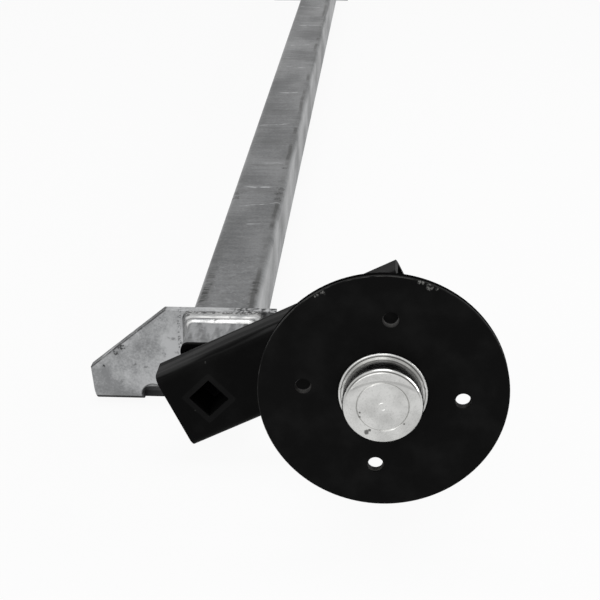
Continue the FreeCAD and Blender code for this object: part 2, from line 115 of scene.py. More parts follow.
@dataclass
class Pattern:
    """Builds masks in one material from the object's own coordinates."""

    tree: bpy.types.NodeTree
    place: bpy.types.NodeSocket = field(init=False)

    def __post_init__(self) -> None:
        """Take the row frame's coordinates, which ride with the piece."""
        self.place = add_node(self.tree, "ShaderNodeTexCoord").outputs["Object"]

    def math(self, operation: str, first: object, second: object = 0.0) -> bpy.types.NodeSocket:
        """Combine two numbers or sockets.

        Args:
            operation: The math node's operation.
            first: The first number or socket.
            second: The second number or socket.

        Returns:
            The result's socket.
        """
        node = add_node(self.tree, "ShaderNodeMath", {"operation": operation}, {0: first, 1: second})
        return node.outputs[0]

    def times(self, first: object, second: object) -> bpy.types.NodeSocket:
        """Return the product."""
        return self.math("MULTIPLY", first, second)

    def plus(self, first: object, second: object) -> bpy.types.NodeSocket:
        """Return the sum."""
        return self.math("ADD", first, second)

    def minus(self, first: object, second: object) -> bpy.types.NodeSocket:
        """Return the difference."""
        return self.math("SUBTRACT", first, second)

    def most(self, first: object, second: object) -> bpy.types.NodeSocket:
        """Return the larger value."""
        return self.math("MAXIMUM", first, second)

    def size(self, value: object) -> bpy.types.NodeSocket:
        """Return the value without its sign."""
        return self.math("ABSOLUTE", value)

    def gap(self, first: object, second: object) -> bpy.types.NodeSocket:
        """Return how far two values are apart."""
        return self.size(self.minus(first, second))

    def hypotenuse(self, first: object, second: object) -> bpy.types.NodeSocket:
        """Return the distance from the origin of a point with these two coordinates."""
        return self.math("SQRT", self.plus(self.times(first, first), self.times(second, second)))

    def along(self) -> bpy.types.NodeSocket:
        """Return the distance from the axle's middle along it, the same at both ends."""
        return self.size(self.axis("Y"))

    def axis(self, letter: str) -> bpy.types.NodeSocket:
        """Return one coordinate, in metres."""
        return add_node(self.tree, "ShaderNodeSeparateXYZ", None, {0: self.place}).outputs[letter]

    def stretched(self, scale: tuple[float, float, float]) -> bpy.types.NodeSocket:
        """Return the coordinates, scaled per axis."""
        node = add_node(self.tree, "ShaderNodeMapping", None, {"Vector": self.place, "Scale": scale})
        return node.outputs["Vector"]

    def noise(self, size_mm: float, detail: float = 4.0,
              stretch: tuple[float, float, float] = (1.0, 1.0, 1.0)) -> bpy.types.NodeSocket:
        """Return cloudy noise.

        Args:
            size_mm: The size of one cloud on the metal.
            detail: How many finer layers it has.
            stretch: Scale per axis; less than 1 draws the cloud out.

        Returns:
            A socket from 0 to 1.
        """
        node = add_node(self.tree, "ShaderNodeTexNoise", None, {
            "Vector": self.stretched(stretch), "Scale": 1 / (size_mm * MM), "Detail": detail})
        return node.outputs["Fac"]

    def cells(self, size_mm: float) -> bpy.types.NodeSocket:
        """Return one random number for each crystal-like cell of the given size."""
        node = add_node(self.tree, "ShaderNodeTexVoronoi", None, {"Vector": self.place,
                                                                  "Scale": 1 / (size_mm * MM)})
        return add_node(self.tree, "ShaderNodeSeparateColor", None, {0: node.outputs["Color"]}).outputs[0]

    def band(self, value: bpy.types.NodeSocket, low: float, high: float,
             to_low: float = 0.0, to_high: float = 1.0) -> bpy.types.NodeSocket:
        """Map a value smoothly from one range to another.

        Args:
            value: The socket to map.
            low: Where the result is to_low.
            high: Where the result is to_high.
            to_low: The result's first end.
            to_high: The result's second end.

        Returns:
            The mapped socket, clamped.
        """
        node = add_node(self.tree, "ShaderNodeMapRange", {"interpolation_type": "SMOOTHSTEP"}, {
            "Value": value, "From Min": low, "From Max": high, "To Min": to_low, "To Max": to_high})
        return node.outputs["Result"]

    def spot(self, centre: Vector, radius_mm: float, raggedness: float = 0.6) -> bpy.types.NodeSocket:
        """Return a ragged patch round a point.

        Args:
            centre: The point, in metres.
            radius_mm: The patch's radius.
            raggedness: How far noise eats into its edge, as a share of the radius.

        Returns:
            A socket that is 1 inside the patch.
        """
        away = add_node(self.tree, "ShaderNodeVectorMath", {"operation": "DISTANCE"}, {
            0: self.place, 1: centre}).outputs["Value"]
        rough = self.math("MULTIPLY", self.noise(radius_mm * 0.5, 3.0), raggedness * radius_mm * MM * 2)
        return self.band(self.math("ADD", away, rough), radius_mm * MM * 1.45, radius_mm * MM * 1.2)

    def mix(self, amount: object, first: object, second: object) -> bpy.types.NodeSocket:
        """Mix two colours.

        Args:
            amount: 0 gives the first colour and 1 the second.
            first: A colour or socket.
            second: A colour or socket.

        Returns:
            The mixed colour's socket.
        """
        node = add_node(self.tree, "ShaderNodeMix", {"data_type": "RGBA"}, {0: amount, 6: first,
                                                                            7: second})
        return node.outputs[2]

    def bump(self, height: bpy.types.NodeSocket, depth_mm: float, strength: float = 1.0,
             under: bpy.types.NodeSocket | None = None) -> bpy.types.NodeSocket:
        """Return a normal that is raised by a height.

        Args:
            height: The height's socket, 0 to 1.
            depth_mm: What a height of 1 stands for.
            strength: How strongly it shows.
            under: A normal to build on.

        Returns:
            The normal's socket.
        """
        inputs = {"Height": height, "Distance": depth_mm * MM, "Strength": strength}
        if under is not None:
            inputs["Normal"] = under
        return add_node(self.tree, "ShaderNodeBump", None, inputs).outputs["Normal"]


def start_material(name: str) -> tuple[bpy.types.Material, Pattern, bpy.types.Node]:
    """Make an empty material with one surface shader.

    Args:
        name: The finish's plain name.

    Returns:
        The material, its pattern builder and its surface shader.
    """
    material = bpy.data.materials.new(name)
    material.use_nodes = True
    tree = material.node_tree
    tree.nodes.clear()
    shader = add_node(tree, "ShaderNodeBsdfPrincipled")
    add_node(tree, "ShaderNodeOutputMaterial", None, {"Surface": shader.outputs[0]})
    return material, Pattern(tree), shader


def connect(pattern: Pattern, shader: bpy.types.Node, inputs: dict) -> None:
    """Set or link the shader's inputs.

    Args:
        pattern: The material's pattern builder.
        shader: The surface shader.
        inputs: Values or sockets by input name.
    """
    for name, value in inputs.items():
        if isinstance(value, bpy.types.NodeSocket):
            pattern.tree.links.new(value, shader.inputs[name])
        else:
            shader.inputs[name].default_value = value


@dataclass(frozen=True)
class GalvanisedSteel:
    """Hot-dip galvanised steel: dull grey zinc with faint spangle, streaks and stains.

    The dip leaves a soft metallic skin. It shows clouds a few centimetres
    wide, fine lines drawn along the section and dark ash stains.
    """

    name: str = "hot_dip_galvanised_steel"
    light: str = "a9aaab"
    dark: str = "7e7f80"
    stain: str = "3a3a39"
    cloud_mm: float = 30.0
    cloud_stretch: tuple[float, float, float] = (1.0, 1.0, 1.0)
    streak_mm: float = 2.0
    streak_stretch: tuple[float, float, float] = (1.0, 0.05, 1.0)
    spangle_mm: float = 7.0
    fleck_mm: float = 6.0
    fleck_share: float = 0.45
    grain_mm: float = 0.9
    roughness: float = 0.42
    spots: tuple[tuple[float, float, float, float], ...] = ()

    def tone(self, pattern: Pattern) -> bpy.types.NodeSocket:
        """Return the zinc's light and dark pattern, 0 to 1."""
        clouds = pattern.noise(self.cloud_mm, 5.0, self.cloud_stretch)
        streaks = pattern.noise(self.streak_mm, 3.0, self.streak_stretch)
        tone = pattern.plus(pattern.times(clouds, 0.6), pattern.times(streaks, 0.32))
        tone = pattern.plus(tone, pattern.times(pattern.cells(self.spangle_mm), 0.08))
        return pattern.band(tone, 0.38, 0.64)

    def colour(self, pattern: Pattern, tone: bpy.types.NodeSocket) -> bpy.types.NodeSocket:
        """Return the colour before any stain."""
        return pattern.mix(tone, linear(self.light), linear(self.dark))

    def stains(self, pattern: Pattern) -> bpy.types.NodeSocket:
        """Return where ash or dirt darkens the zinc."""
        flecks = pattern.band(pattern.noise(self.fleck_mm, 6.0), 0.62, 0.72)
        mask = pattern.times(flecks, self.fleck_share)
        grit = pattern.band(pattern.noise(1.7, 4.0), 0.40, 0.56, 0.2, 0.85)
        for x, y, z, radius in self.spots:
            spot = pattern.times(pattern.spot(Vector((x, y, z)), radius, 0.75), grit)
            mask = pattern.most(mask, spot)
        return mask

    def painted(self, pattern: Pattern, colour: bpy.types.NodeSocket) -> bpy.types.NodeSocket:
        """Return the colour with any paint over the zinc; here there is none."""
        return colour

    def build(self) -> bpy.types.Material:
        """Return the finished material."""
        material, pattern, shader = start_material(self.name)
        tone = self.tone(pattern)
        stained = self.stains(pattern)
        colour = pattern.mix(stained, self.colour(pattern, tone), linear(self.stain))
        colour = self.painted(pattern, colour)
        normal = pattern.bump(pattern.noise(self.grain_mm, 3.0), 0.04, 0.35)
        normal = pattern.bump(pattern.noise(self.cloud_mm * 0.3, 3.0), 0.25, 0.35, normal)
        connect(pattern, shader, {
            "Base Color": colour, "Metallic": pattern.band(stained, 0.0, 1.0, 1.0, 0.1), "Normal": normal,
            "Specular IOR Level": pattern.band(stained, 0.0, 1.0, 0.5, 0.0),
            "Roughness": pattern.band(tone, 0.0, 1.0, self.roughness - 0.05, self.roughness + 0.07)})
        return material


@dataclass(frozen=True)
class Fold:
    """A line across the tube's top: its place, half width, slant and reach about the middle."""

    place: float
    width: float
    slant: float
    first: float
    last: float


@dataclass(frozen=True)
class GalvanisedTube(GalvanisedSteel):
    """The zinc on the drawn tube: an even mid grey with faint ripples across it.

    The long faces are painted lighter than the top, a painted highlight for the
    light that falls on them. Dark ticks follow the top's two edges near each end,
    and a few bright and dark folds cross it. Near the brackets the zinc is
    mottled with pale curls, beyond them it was wiped in streaks, and the ends are
    painted black with the arms.
    """

    name: str = "galvanised_tube"
    light: str = "707172"
    dark: str = "525354"
    # painted highlight: the lighter colour of the long faces, for the light that falls on them
    side: str = "9c9d9e"
    cloud_mm: float = 60.0
    fleck_share: float = 0.3
    centre: float = 0.0308
    half_width: float = 0.025
    top: float = 0.0785
    tick_start: float = 0.80
    tick_end: float = 0.926
    wiped: str = "a4a5a6"
    mottling: str = "939495"
    fold_light: str = "b8b9ba"
    paint: str = "0d0d0d"
    paint_start: float = 0.9735
    dark_folds: tuple[Fold, ...] = (
        Fold(0.608, 0.009, 0.0, -0.03, 0.03), Fold(0.432, 0.009, 0.1, -0.03, 0.03),
        Fold(0.522, 0.004, -0.1, -0.02, 0.03), Fold(0.30, 0.008, 0.1, -0.03, 0.03),
        Fold(0.16, 0.005, -0.2, -0.03, 0.02), Fold(0.02, 0.010, 0.1, -0.03, 0.03))
    light_folds: tuple[Fold, ...] = (
        Fold(0.596, 0.0030, 0.0, -0.014, 0.010), Fold(0.652, 0.0022, 0.30, -0.012, 0.024),
        Fold(0.707, 0.0026, 0.0, -0.002, 0.007), Fold(0.515, 0.0018, 0.0, -0.004, 0.014),
        Fold(0.36, 0.0020, 0.2, -0.02, 0.01), Fold(0.21, 0.0030, 0.0, -0.01, 0.02),
        Fold(0.07, 0.0020, -0.2, -0.02, 0.01))

    def tone(self, pattern: Pattern) -> bpy.types.NodeSocket:
        """Return the clouds and the fine ripples across the tube."""
        clouds = pattern.times(pattern.noise(self.cloud_mm, 6.0, (1.0, 0.5, 1.0)), 0.55)
        ripples = pattern.times(pattern.noise(6.0, 4.0, (0.25, 1.0, 0.25)), 0.2)
        grain = pattern.times(pattern.noise(1.8, 3.0), 0.25)
        return pattern.band(pattern.plus(clouds, pattern.plus(ripples, grain)), 0.34, 0.66)

    def folds(self, pattern: Pattern, folds: tuple[Fold, ...], share: float) -> bpy.types.NodeSocket:
        """Return lines across the tube's top, the same at both ends."""
        along = pattern.along()
        across = pattern.minus(pattern.axis("X"), self.centre)
        wavy = pattern.plus(along, pattern.times(pattern.noise(18.0, 4.0), 0.016))
        broken = pattern.band(pattern.noise(7.0, 4.0), 0.36, 0.60, 0.1, share)
        mask = None
        for fold in folds:
            slanted = pattern.plus(wavy, pattern.times(across, fold.slant))
            away = pattern.gap(slanted, fold.place + 0.008)
            line = pattern.band(away, fold.width, fold.width * 0.2)
            line = pattern.times(line, pattern.band(across, fold.first - 0.004, fold.first + 0.002))
            line = pattern.times(line, pattern.band(across, fold.last + 0.004, fold.last - 0.002))
            mask = line if mask is None else pattern.most(mask, line)
        top = pattern.band(pattern.axis("Z"), self.top - 0.002, self.top)
        return pattern.times(pattern.times(mask, broken), top)

    def edge_marks(self, pattern: Pattern, along: bpy.types.NodeSocket) -> bpy.types.NodeSocket:
        """Return the ticks and the soft line inside the top's two edges."""
        across = pattern.minus(pattern.axis("X"), self.centre)
        away = pattern.size(across)
        ragged = pattern.plus(away, pattern.times(pattern.noise(5.0, 3.0), 0.006))
        near = pattern.band(ragged, self.half_width - 0.0090, self.half_width - 0.0045)
        outer = pattern.band(away, self.half_width - 0.0012, self.half_width - 0.0040)
        ticks = pattern.band(pattern.noise(3.4, 3.0, (0.25, 1.0, 0.25)), 0.36, 0.56)
        patchy = pattern.band(pattern.noise(30.0, 4.0), 0.34, 0.48)
        patchy = pattern.times(patchy, pattern.band(along, self.tick_start, self.tick_start + 0.06, 0.25))
        line = pattern.times(pattern.times(near, outer), pattern.times(ticks, patchy))
        wobble = pattern.plus(across, pattern.times(pattern.noise(45.0, 4.0), 0.004))
        hair = pattern.band(pattern.gap(wobble, self.half_width - 0.0032), 0.0032, 0.0010, 0.0, 0.72)
        hair = pattern.times(hair, pattern.band(pattern.noise(50.0, 5.0), 0.38, 0.56, 0.15))
        hair = pattern.times(hair, pattern.band(pattern.axis("Z"), self.top - 0.004, self.top))
        blots = pattern.times(pattern.times(near, outer), pattern.band(along, self.tick_start + 0.03,
                                                                       self.tick_start + 0.08))
        blots = pattern.times(blots, pattern.band(pattern.noise(8.0, 5.0), 0.50, 0.60, 0.0, 0.7))
        line = pattern.most(pattern.times(line, 0.85), blots)
        line = pattern.times(line, pattern.band(along, self.tick_end + 0.008, self.tick_end))
        return pattern.most(line, hair)

    def stains(self, pattern: Pattern) -> bpy.types.NodeSocket:
        """Return the flecks, the edge marks, the dark folds and the painted ends."""
        along = pattern.along()
        mask = pattern.most(super().stains(pattern), self.edge_marks(pattern, along))
        mask = pattern.most(mask, self.folds(pattern, self.dark_folds, 0.45))
        return pattern.most(mask, self.paint_edge(pattern))

    def paint_edge(self, pattern: Pattern) -> bpy.types.NodeSocket:
        """Return 1 on the painted end, which starts at a ragged line."""
        along = pattern.along()
        worn = pattern.plus(along, pattern.times(pattern.noise(6.0, 3.0), 0.0015))
        return pattern.band(worn, self.paint_start, self.paint_start + 0.001)

    def painted(self, pattern: Pattern, colour: bpy.types.NodeSocket) -> bpy.types.NodeSocket:
        """Return the colour with the black paint on the tube's end."""
        return pattern.mix(self.paint_edge(pattern), colour, linear(self.paint))

    def colour(self, pattern: Pattern, tone: bpy.types.NodeSocket) -> bpy.types.NodeSocket:
        """Return the zinc's colour with the painted highlight on the long sides, the wiped streaks, the
        mottling and the folds.
        """
        colour = super().colour(pattern, tone)
        # Painted highlight: the long sides and their rounded corners are painted lighter than the top.
        away = pattern.gap(pattern.axis("X"), self.centre)
        cloudy = pattern.band(pattern.noise(38.0, 6.0, (1.0, 0.6, 1.0)), 0.36, 0.64, 0.08, 0.72)
        side = pattern.times(pattern.band(away, self.half_width - 0.003, self.half_width), cloudy)
        colour = pattern.mix(side, colour, linear(self.side))
        wiped = pattern.band(pattern.noise(6.0, 4.0, (1.0, 0.2, 1.0)), 0.38, 0.62, 0.0, 0.62)
        wiped = pattern.times(wiped, pattern.band(pattern.along(), self.tick_end, self.tick_end + 0.008))
        colour = pattern.mix(wiped, colour, linear(self.wiped))
        curls = pattern.band(pattern.gap(pattern.noise(24.0, 2.0), 0.5), 0.008, 0.002, 0.0, 0.38)
        mottled = pattern.most(curls, pattern.band(pattern.noise(7.0, 6.0), 0.54, 0.70, 0.0, 0.28))
        mottled = pattern.times(mottled, pattern.band(pattern.along(), self.tick_start - 0.04,
                                                      self.tick_start + 0.02))
        colour = pattern.mix(mottled, colour, linear(self.mottling))
        return pattern.mix(self.folds(pattern, self.light_folds, 0.6), colour, linear(self.fold_light))


@dataclass(frozen=True)
class BracketZinc(GalvanisedSteel):
    """The zinc on the cut plate: pale, with wide soft run marks and fine dark grit.

    A painted contact shadow darkens the bottom edge and painted shade the drain
    slot's walls. Dirt sits along the cut edge and in dots beside the weld, and the
    plate behind the tube's rear side has dark specks over painted shade.
    """

    name: str = "galvanised_plate"
    light: str = "b2b3b4"
    dark: str = "818283"
    stain: str = "39393a"
    slot_x: float = -0.026
    slot_z: float = 0.0085
    slot_radius: float = 0.009
    inner: float = 0.911
    weld_x: float = -0.0030
    rear_x: float = 0.028
    rise: tuple[float, float] = (0.757, 0.654)
    cut_place: float = 0.073

    def tone(self, pattern: Pattern) -> bpy.types.NodeSocket:
        """Return wide clouds, slanting runs and fine grain."""
        clouds = pattern.times(pattern.noise(34.0, 7.0), 0.6)
        runs = pattern.times(pattern.noise(8.0, 4.0, (1.0, 1.0, 0.35)), 0.2)
        grain = pattern.times(pattern.noise(1.6, 4.0), 0.2)
        pale = pattern.band(pattern.axis("X"), self.weld_x - 0.035, self.weld_x - 0.005, 0.0, -0.07)
        tone = pattern.plus(clouds, pattern.plus(runs, grain))
        return pattern.band(pattern.plus(tone, pale), 0.38, 0.62)

    def stains(self, pattern: Pattern) -> bpy.types.NodeSocket:
        """Return the flecks, the painted shade on the slot's walls and the bottom edge, the dots, the cut
        edge, and the dark specks with painted shade behind the tube.
        """
        mask = super().stains(pattern)
        place_x, place_z = pattern.axis("X"), pattern.axis("Z")
        # Painted shade: the drain slot's walls are darkened.
        across = pattern.minus(place_x, self.slot_x)
        up = pattern.most(pattern.minus(place_z, self.slot_z), 0.0)
        radius = pattern.hypotenuse(across, up)
        slot = pattern.band(radius, self.slot_radius + 0.0013, self.slot_radius + 0.0002, 0.0, 0.8)
        # Painted contact shadow: a dark line along the plate's bottom edge.
        low = pattern.band(place_z, 0.0066, 0.0050, 0.0, 0.95)
        on_plate = pattern.band(pattern.along(), self.inner - 0.0105, self.inner - 0.0085)
        lower = pattern.times(pattern.most(slot, low), on_plate)
        mask = pattern.most(mask, lower)
        wavering = pattern.plus(place_x, pattern.times(pattern.noise(9.0, 3.0), 0.005))
        beside = pattern.band(pattern.gap(wavering, self.weld_x + 0.0020), 0.0020, 0.0008)
        high = pattern.band(place_z, 0.030, 0.036)
        dots = pattern.band(pattern.noise(1.4, 4.0), 0.50, 0.60, 0.0, 0.6)
        mask = pattern.most(mask, pattern.times(beside, pattern.times(high, dots)))
        slope = pattern.plus(pattern.times(place_x, -self.rise[1]), pattern.times(place_z, self.rise[0]))
        cut = pattern.band(slope, self.cut_place - 0.0014, self.cut_place - 0.0006, 0.0, 0.75)
        cut = pattern.times(cut, pattern.band(pattern.noise(11.0, 5.0), 0.36, 0.52, 0.25))
        mask = pattern.most(mask, cut)
        # Painted shade with dark specks on the plate behind the tube's rear side, high up.
        rear = pattern.band(place_x, self.rear_x, self.rear_x + 0.016)
        grime = pattern.times(rear, pattern.band(pattern.noise(3.5, 5.0), 0.36, 0.60, 0.1, 0.95))
        return pattern.most(mask, pattern.times(grime, pattern.band(place_z, 0.055, 0.070)))


@dataclass(frozen=True)
class WeldZinc(GalvanisedSteel):
    """Zinc over the bracket's weld: painted highlights on two ridges of its top run, a painted shade line
    between them, sooty pits behind.
    """

    name: str = "galvanised_weld_metal"
    light: str = "bcbcbb"
    dark: str = "868788"
    # colour of the painted highlights on the weld's top ridges
    ridge: str = "e2e2e1"
    stain: str = "2a2a2a"
    cloud_mm: float = 10.0
    roughness: float = 0.34
    plate: float = 0.919
    top: float = 0.0785
    # places and half widths of the painted ridge highlights, and of the painted shade line between them
    ridges: tuple[tuple[float, float], ...] = ((0.0088, 0.0026), (0.0165, 0.0018))
    line: float = 0.0128
    soot: float = 0.0055

    def depth(self, pattern: Pattern) -> bpy.types.NodeSocket:
        """Return the wavy distance in front of the plate, in metres."""
        away = pattern.minus(pattern.along(), self.plate)
        return pattern.plus(away, pattern.times(pattern.minus(pattern.noise(12.0, 4.0), 0.5), 0.004))

    def on_top(self, pattern: Pattern) -> bpy.types.NodeSocket:
        """Return 1 on the weld's top run."""
        return pattern.band(pattern.axis("Z"), self.top - 0.004, self.top - 0.001)

    def tone(self, pattern: Pattern) -> bpy.types.NodeSocket:
        """Return small clouds and grain."""
        clouds = pattern.times(pattern.noise(self.cloud_mm, 5.0, (0.5, 1.0, 1.0)), 0.7)
        grain = pattern.times(pattern.noise(1.5, 3.0), 0.3)
        return pattern.band(pattern.plus(clouds, grain), 0.36, 0.64)

    def colour(self, pattern: Pattern, tone: bpy.types.NodeSocket) -> bpy.types.NodeSocket:
        """Return the zinc's colour with painted highlights along the ridges of the top run."""
        colour = super().colour(pattern, tone)
        depth = self.depth(pattern)
        broken = pattern.band(pattern.noise(8.0, 4.0, (0.6, 1.0, 1.0)), 0.34, 0.60, 0.3, 1.0)
        # Painted highlights: lighter colour along the two ridges, on the top run only.
        for place, width in self.ridges:
            away = pattern.gap(depth, place)
            ridge = pattern.times(pattern.band(away, width, width * 0.3), broken)
            colour = pattern.mix(pattern.times(ridge, self.on_top(pattern)), colour, linear(self.ridge))
        return colour

    def stains(self, pattern: Pattern) -> bpy.types.NodeSocket:
        """Return the pits, the painted shade line between the ridges and the soot by the plate."""
        mask = super().stains(pattern)
        depth = self.depth(pattern)
        # Painted shade: a dark line in the hollow between the two ridges on top.
        away = pattern.gap(depth, self.line)
        line = pattern.times(pattern.band(away, 0.0011, 0.0004, 0.0, 0.5), self.on_top(pattern))
        soot = pattern.times(pattern.band(depth, self.soot, self.soot * 0.5),
                             pattern.band(pattern.noise(3.0, 5.0), 0.42, 0.60, 0.1, 0.8))
        return pattern.most(mask, pattern.most(line, soot))


@dataclass(frozen=True)
class BlackEnamel:
    """Satin black enamel over steel, with bright chips where it was knocked.

    The film is nearly black and gives only a low sheen, so its mirror level
    is set well under that of clean enamel.
    """

    name: str = "satin_black_enamel"
    paint: str = "0f0f0f"
    dust: str = "242424"
    bare: str = "8e8e8c"
    roughness: float = 0.4
    sheen: float = 0.05
    dust_mm: float = 20.0
    peel_mm: float = 1.8
    chips: tuple[tuple[float, float, float, float], ...] = ()

    def chipped(self, pattern: Pattern) -> bpy.types.NodeSocket | None:
        """Return where knocks have taken the paint off."""
        mask = None
        torn = pattern.band(pattern.noise(1.6, 4.0), 0.40, 0.58, 0.1)
        for x, y, z, radius in self.chips:
            spot = pattern.times(pattern.spot(Vector((x, y, z)), radius), torn)
            mask = spot if mask is None else pattern.most(mask, spot)
        return mask

    def dusty(self, pattern: Pattern) -> bpy.types.NodeSocket:
        """Return how much dust lies on the paint."""
        return pattern.times(pattern.band(pattern.noise(self.dust_mm, 7.0), 0.40, 0.72), 0.32)

    def mirror(self, pattern: Pattern) -> object:
        """Return the mirror level."""
        return self.sheen

    def build(self) -> bpy.types.Material:
        """Return the finished material."""
        material, pattern, shader = start_material(self.name)
        colour = pattern.mix(self.dusty(pattern), linear(self.paint), linear(self.dust))
        worn = self.chipped(pattern)
        metallic: object = 0.0
        if worn is not None:
            colour = pattern.mix(worn, colour, linear(self.bare))
            metallic = worn
        connect(pattern, shader, {
            "Base Color": colour, "Metallic": metallic, "Roughness": self.roughness,
            "IOR": 1.5, "Specular IOR Level": self.mirror(pattern),
            "Normal": pattern.bump(pattern.noise(self.peel_mm, 2.0), 0.02, 0.3, pattern.bump(
                pattern.noise(self.dust_mm * 0.4, 4.0), 0.2, 0.4))})
        return material


@dataclass(frozen=True)
class ArmEnamel(BlackEnamel):
    """The same enamel on the arm: long pale streaks along its top, partly dust and partly a painted highlight
    for its rounded edges, and chips of a dull grey.
    """

    name: str = "satin_black_enamel_on_arm"
    paint: str = "0b0b0b"
    # colour of the dust and of the painted highlight streaks
    dust: str = "383838"
    bare: str = "6a6a68"
    roughness: float = 0.5
    sheen: float = 0.03
    front: float = 1.015
    streak_mm: float = 7.0

    def dusty(self, pattern: Pattern) -> bpy.types.NodeSocket:
        """Return the dust and the pale streaks between the arm's two flat sides, partly a painted highlight.
        """
        # Painted highlight mixed with dust: pale streaks along the arm behind its front face.
        streaks = pattern.band(pattern.noise(self.streak_mm, 3.0, (0.06, 1.0, 0.06)), 0.44, 0.60, 0.0,
                               0.8)
        behind = pattern.minus(self.front, pattern.along())
        streaks = pattern.times(streaks, pattern.band(behind, 0.0008, 0.0028))
        streaks = pattern.times(streaks, pattern.band(pattern.axis("X"), 0.15, 0.08, 0.25, 1.0))
        return pattern.most(pattern.times(super().dusty(pattern), 0.25), streaks)


@dataclass(frozen=True)
class HubEnamel(BlackEnamel):
    """The same enamel on the wheel disc, with a broken painted highlight drawn as bare metal along its rim's
    front edge, and no sheen behind its face, a painted shade.
    """

    name: str = "satin_black_enamel_on_hub"
    bare: str = "646462"
    sheen: float = 0.03
    hub_x: float = 0.154
    hub_z: float = 0.111
    disc_radius: float = 0.0785
    face: float = 1.12
    wear_mm: float = 0.55
    shaded_depth: float = 0.0010

    def chipped(self, pattern: Pattern) -> bpy.types.NodeSocket:
        """Return the knocks and the painted highlight, a broken band of bare metal along the rim's front
        edge, weaker on the right.
        """
        across = pattern.minus(pattern.axis("X"), self.hub_x)
        up = pattern.minus(pattern.axis("Z"), self.hub_z)
        radius = pattern.hypotenuse(across, up)
        # Painted highlight: bare metal in a thin band at the rim's front edge, where the lit bevel shows.
        inner = self.disc_radius - self.wear_mm * MM
        edge = pattern.band(radius, inner, inner + 0.25 * MM)
        depth = pattern.minus(self.face, pattern.along())
        edge = pattern.times(edge, pattern.band(depth, self.wear_mm * MM, self.wear_mm * MM * 0.6))
        torn = pattern.band(pattern.noise(9.0, 8.0), 0.44, 0.64, 0.04, 0.5)
        # The painted highlight is weaker on the right of the disc.
        side = pattern.band(pattern.minus(pattern.size(up), across), 0.0, 0.05, 0.25, 1.0)
        rim = pattern.times(edge, pattern.times(torn, side))
        knocks = super().chipped(pattern)
        return rim if knocks is None else pattern.most(rim, knocks)

    def mirror(self, pattern: Pattern) -> object:
        """Return the mirror level, which is nil behind the disc's face, a painted shade on the rim's side and
        the barrel.
        """
        # Painted shade: no sheen deeper than about a millimetre behind the face, so the rim's side and the
        # barrel read dark.
        depth = pattern.minus(self.face, pattern.along())
        return pattern.band(depth, self.shaded_depth, self.shaded_depth + 0.001, self.sheen, 0.0)


@dataclass(frozen=True)
class HalfPainted(BlackEnamel):
    """Steel that is painted only up to a plane across the axle, and oiled beyond it."""

    name: str = "part_painted_steel"
    bare: str = "77757a"
    start: float = 0.98
    painted_outside: bool = True

    def chipped(self, pattern: Pattern) -> bpy.types.NodeSocket:
        """Return the bare length, which starts at a ragged line."""
        along = pattern.along()
        along = pattern.plus(along, pattern.times(pattern.noise(9.0, 3.0), 0.002))
        if self.painted_outside:
            return pattern.band(along, self.start + 0.0015, self.start + 0.0005)
        return pattern.band(along, self.start + 0.0005, self.start + 0.0015)


@dataclass(frozen=True)
class BrightZincPlate:
    """Bright zinc plate on pressed steel: pale, smooth, faintly cloudy, with small dents."""

    name: str = "bright_zinc_plate"
    light: str = "d0d0ce"
    dull: str = "bbbbb9"
    grime: str = "454442"
    roughness: float = 0.2
    haze_mm: float = 14.0
    dent_mm: float = 5.0
    pit_mm: float = 1.6

    def marks(self, pattern: Pattern) -> bpy.types.NodeSocket:
        """Return the small dark pits."""
        pits = pattern.band(pattern.noise(self.pit_mm, 2.0), 0.70, 0.78, 0.0, 0.5)
        return pattern.most(pits, pattern.band(pattern.noise(0.9, 4.0), 0.50, 0.72, 0.0, 0.16))

    def relief(self, pattern: Pattern) -> bpy.types.NodeSocket:
        """Return the surface's normal."""
        normal = pattern.bump(pattern.noise(self.dent_mm, 3.0), 0.15, 0.3)
        return pattern.bump(pattern.noise(0.7, 3.0), 0.02, 0.25, normal)

    def build(self) -> bpy.types.Material:
        """Return the finished material."""
        material, pattern, shader = start_material(self.name)
        haze = pattern.noise(self.haze_mm, 7.0)
        colour = pattern.mix(pattern.band(haze, 0.36, 0.68), linear(self.light), linear(self.dull))
        colour = pattern.mix(self.marks(pattern), colour, linear(self.grime))
        connect(pattern, shader, {"Base Color": colour, "Metallic": 1.0, "Normal": self.relief(pattern),
                                  "Roughness": pattern.band(haze, 0.3, 0.7, self.roughness - 0.04,
                                                            self.roughness + 0.1)})
        return material


